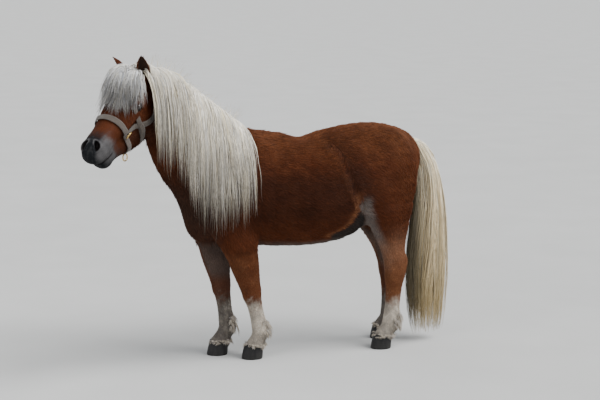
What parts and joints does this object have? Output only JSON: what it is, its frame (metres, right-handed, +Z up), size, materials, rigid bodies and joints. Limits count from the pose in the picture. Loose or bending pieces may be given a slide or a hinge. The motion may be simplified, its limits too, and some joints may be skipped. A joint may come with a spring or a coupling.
{
  "type": "shetland pony",
  "caption": "Life-size Shetland pony standing still, chestnut with a flaxen mane and tail, wearing a webbing headcollar.",
  "frame": {"origin": "middle of the bounding box, on the ground under the four hooves", "axes": "+Z up, +X to the animal's left, +Y from nose to tail, so the animal faces -Y"},
  "size_m": [0.4904, 1.6234, 1.2514],
  "materials": {
    "coat": "short dense coat",
    "mane_hair": "long coarse hair",
    "tail_hair": "long coarse hair",
    "feather_hair": "long soft hair",
    "horn": "worn hoof horn",
    "eye": "wet",
    "webbing": "woven webbing",
    "brass": "dull"
  },
  "bodies": {
    "root": {"foreleg_left": "coat", "foreleg_right": "coat", "hindleg_left": "coat", "hindleg_right": "coat", "torso": "coat", "neck": "coat", "eye_left": "eye", "eye_right": "eye", "head": "coat", "ear_left": "coat", "ear_right": "coat", "hoof_fore_left": "horn", "hoof_fore_right": "horn", "hoof_hind_left": "horn", "hoof_hind_right": "horn", "forelock": "mane_hair", "tail": "tail_hair", "feather_fore_left": "feather_hair", "feather_fore_right": "feather_hair", "feather_hind_left": "feather_hair", "feather_hind_right": "feather_hair", "halter_noseband": "webbing", "halter_headpiece": "webbing", "halter_jaw_strap": "webbing", "halter_ring_left": "brass", "halter_ring_right": "brass", "halter_ring_chin": "brass", "mane": "mane_hair"}
  },
  "joints": []
}
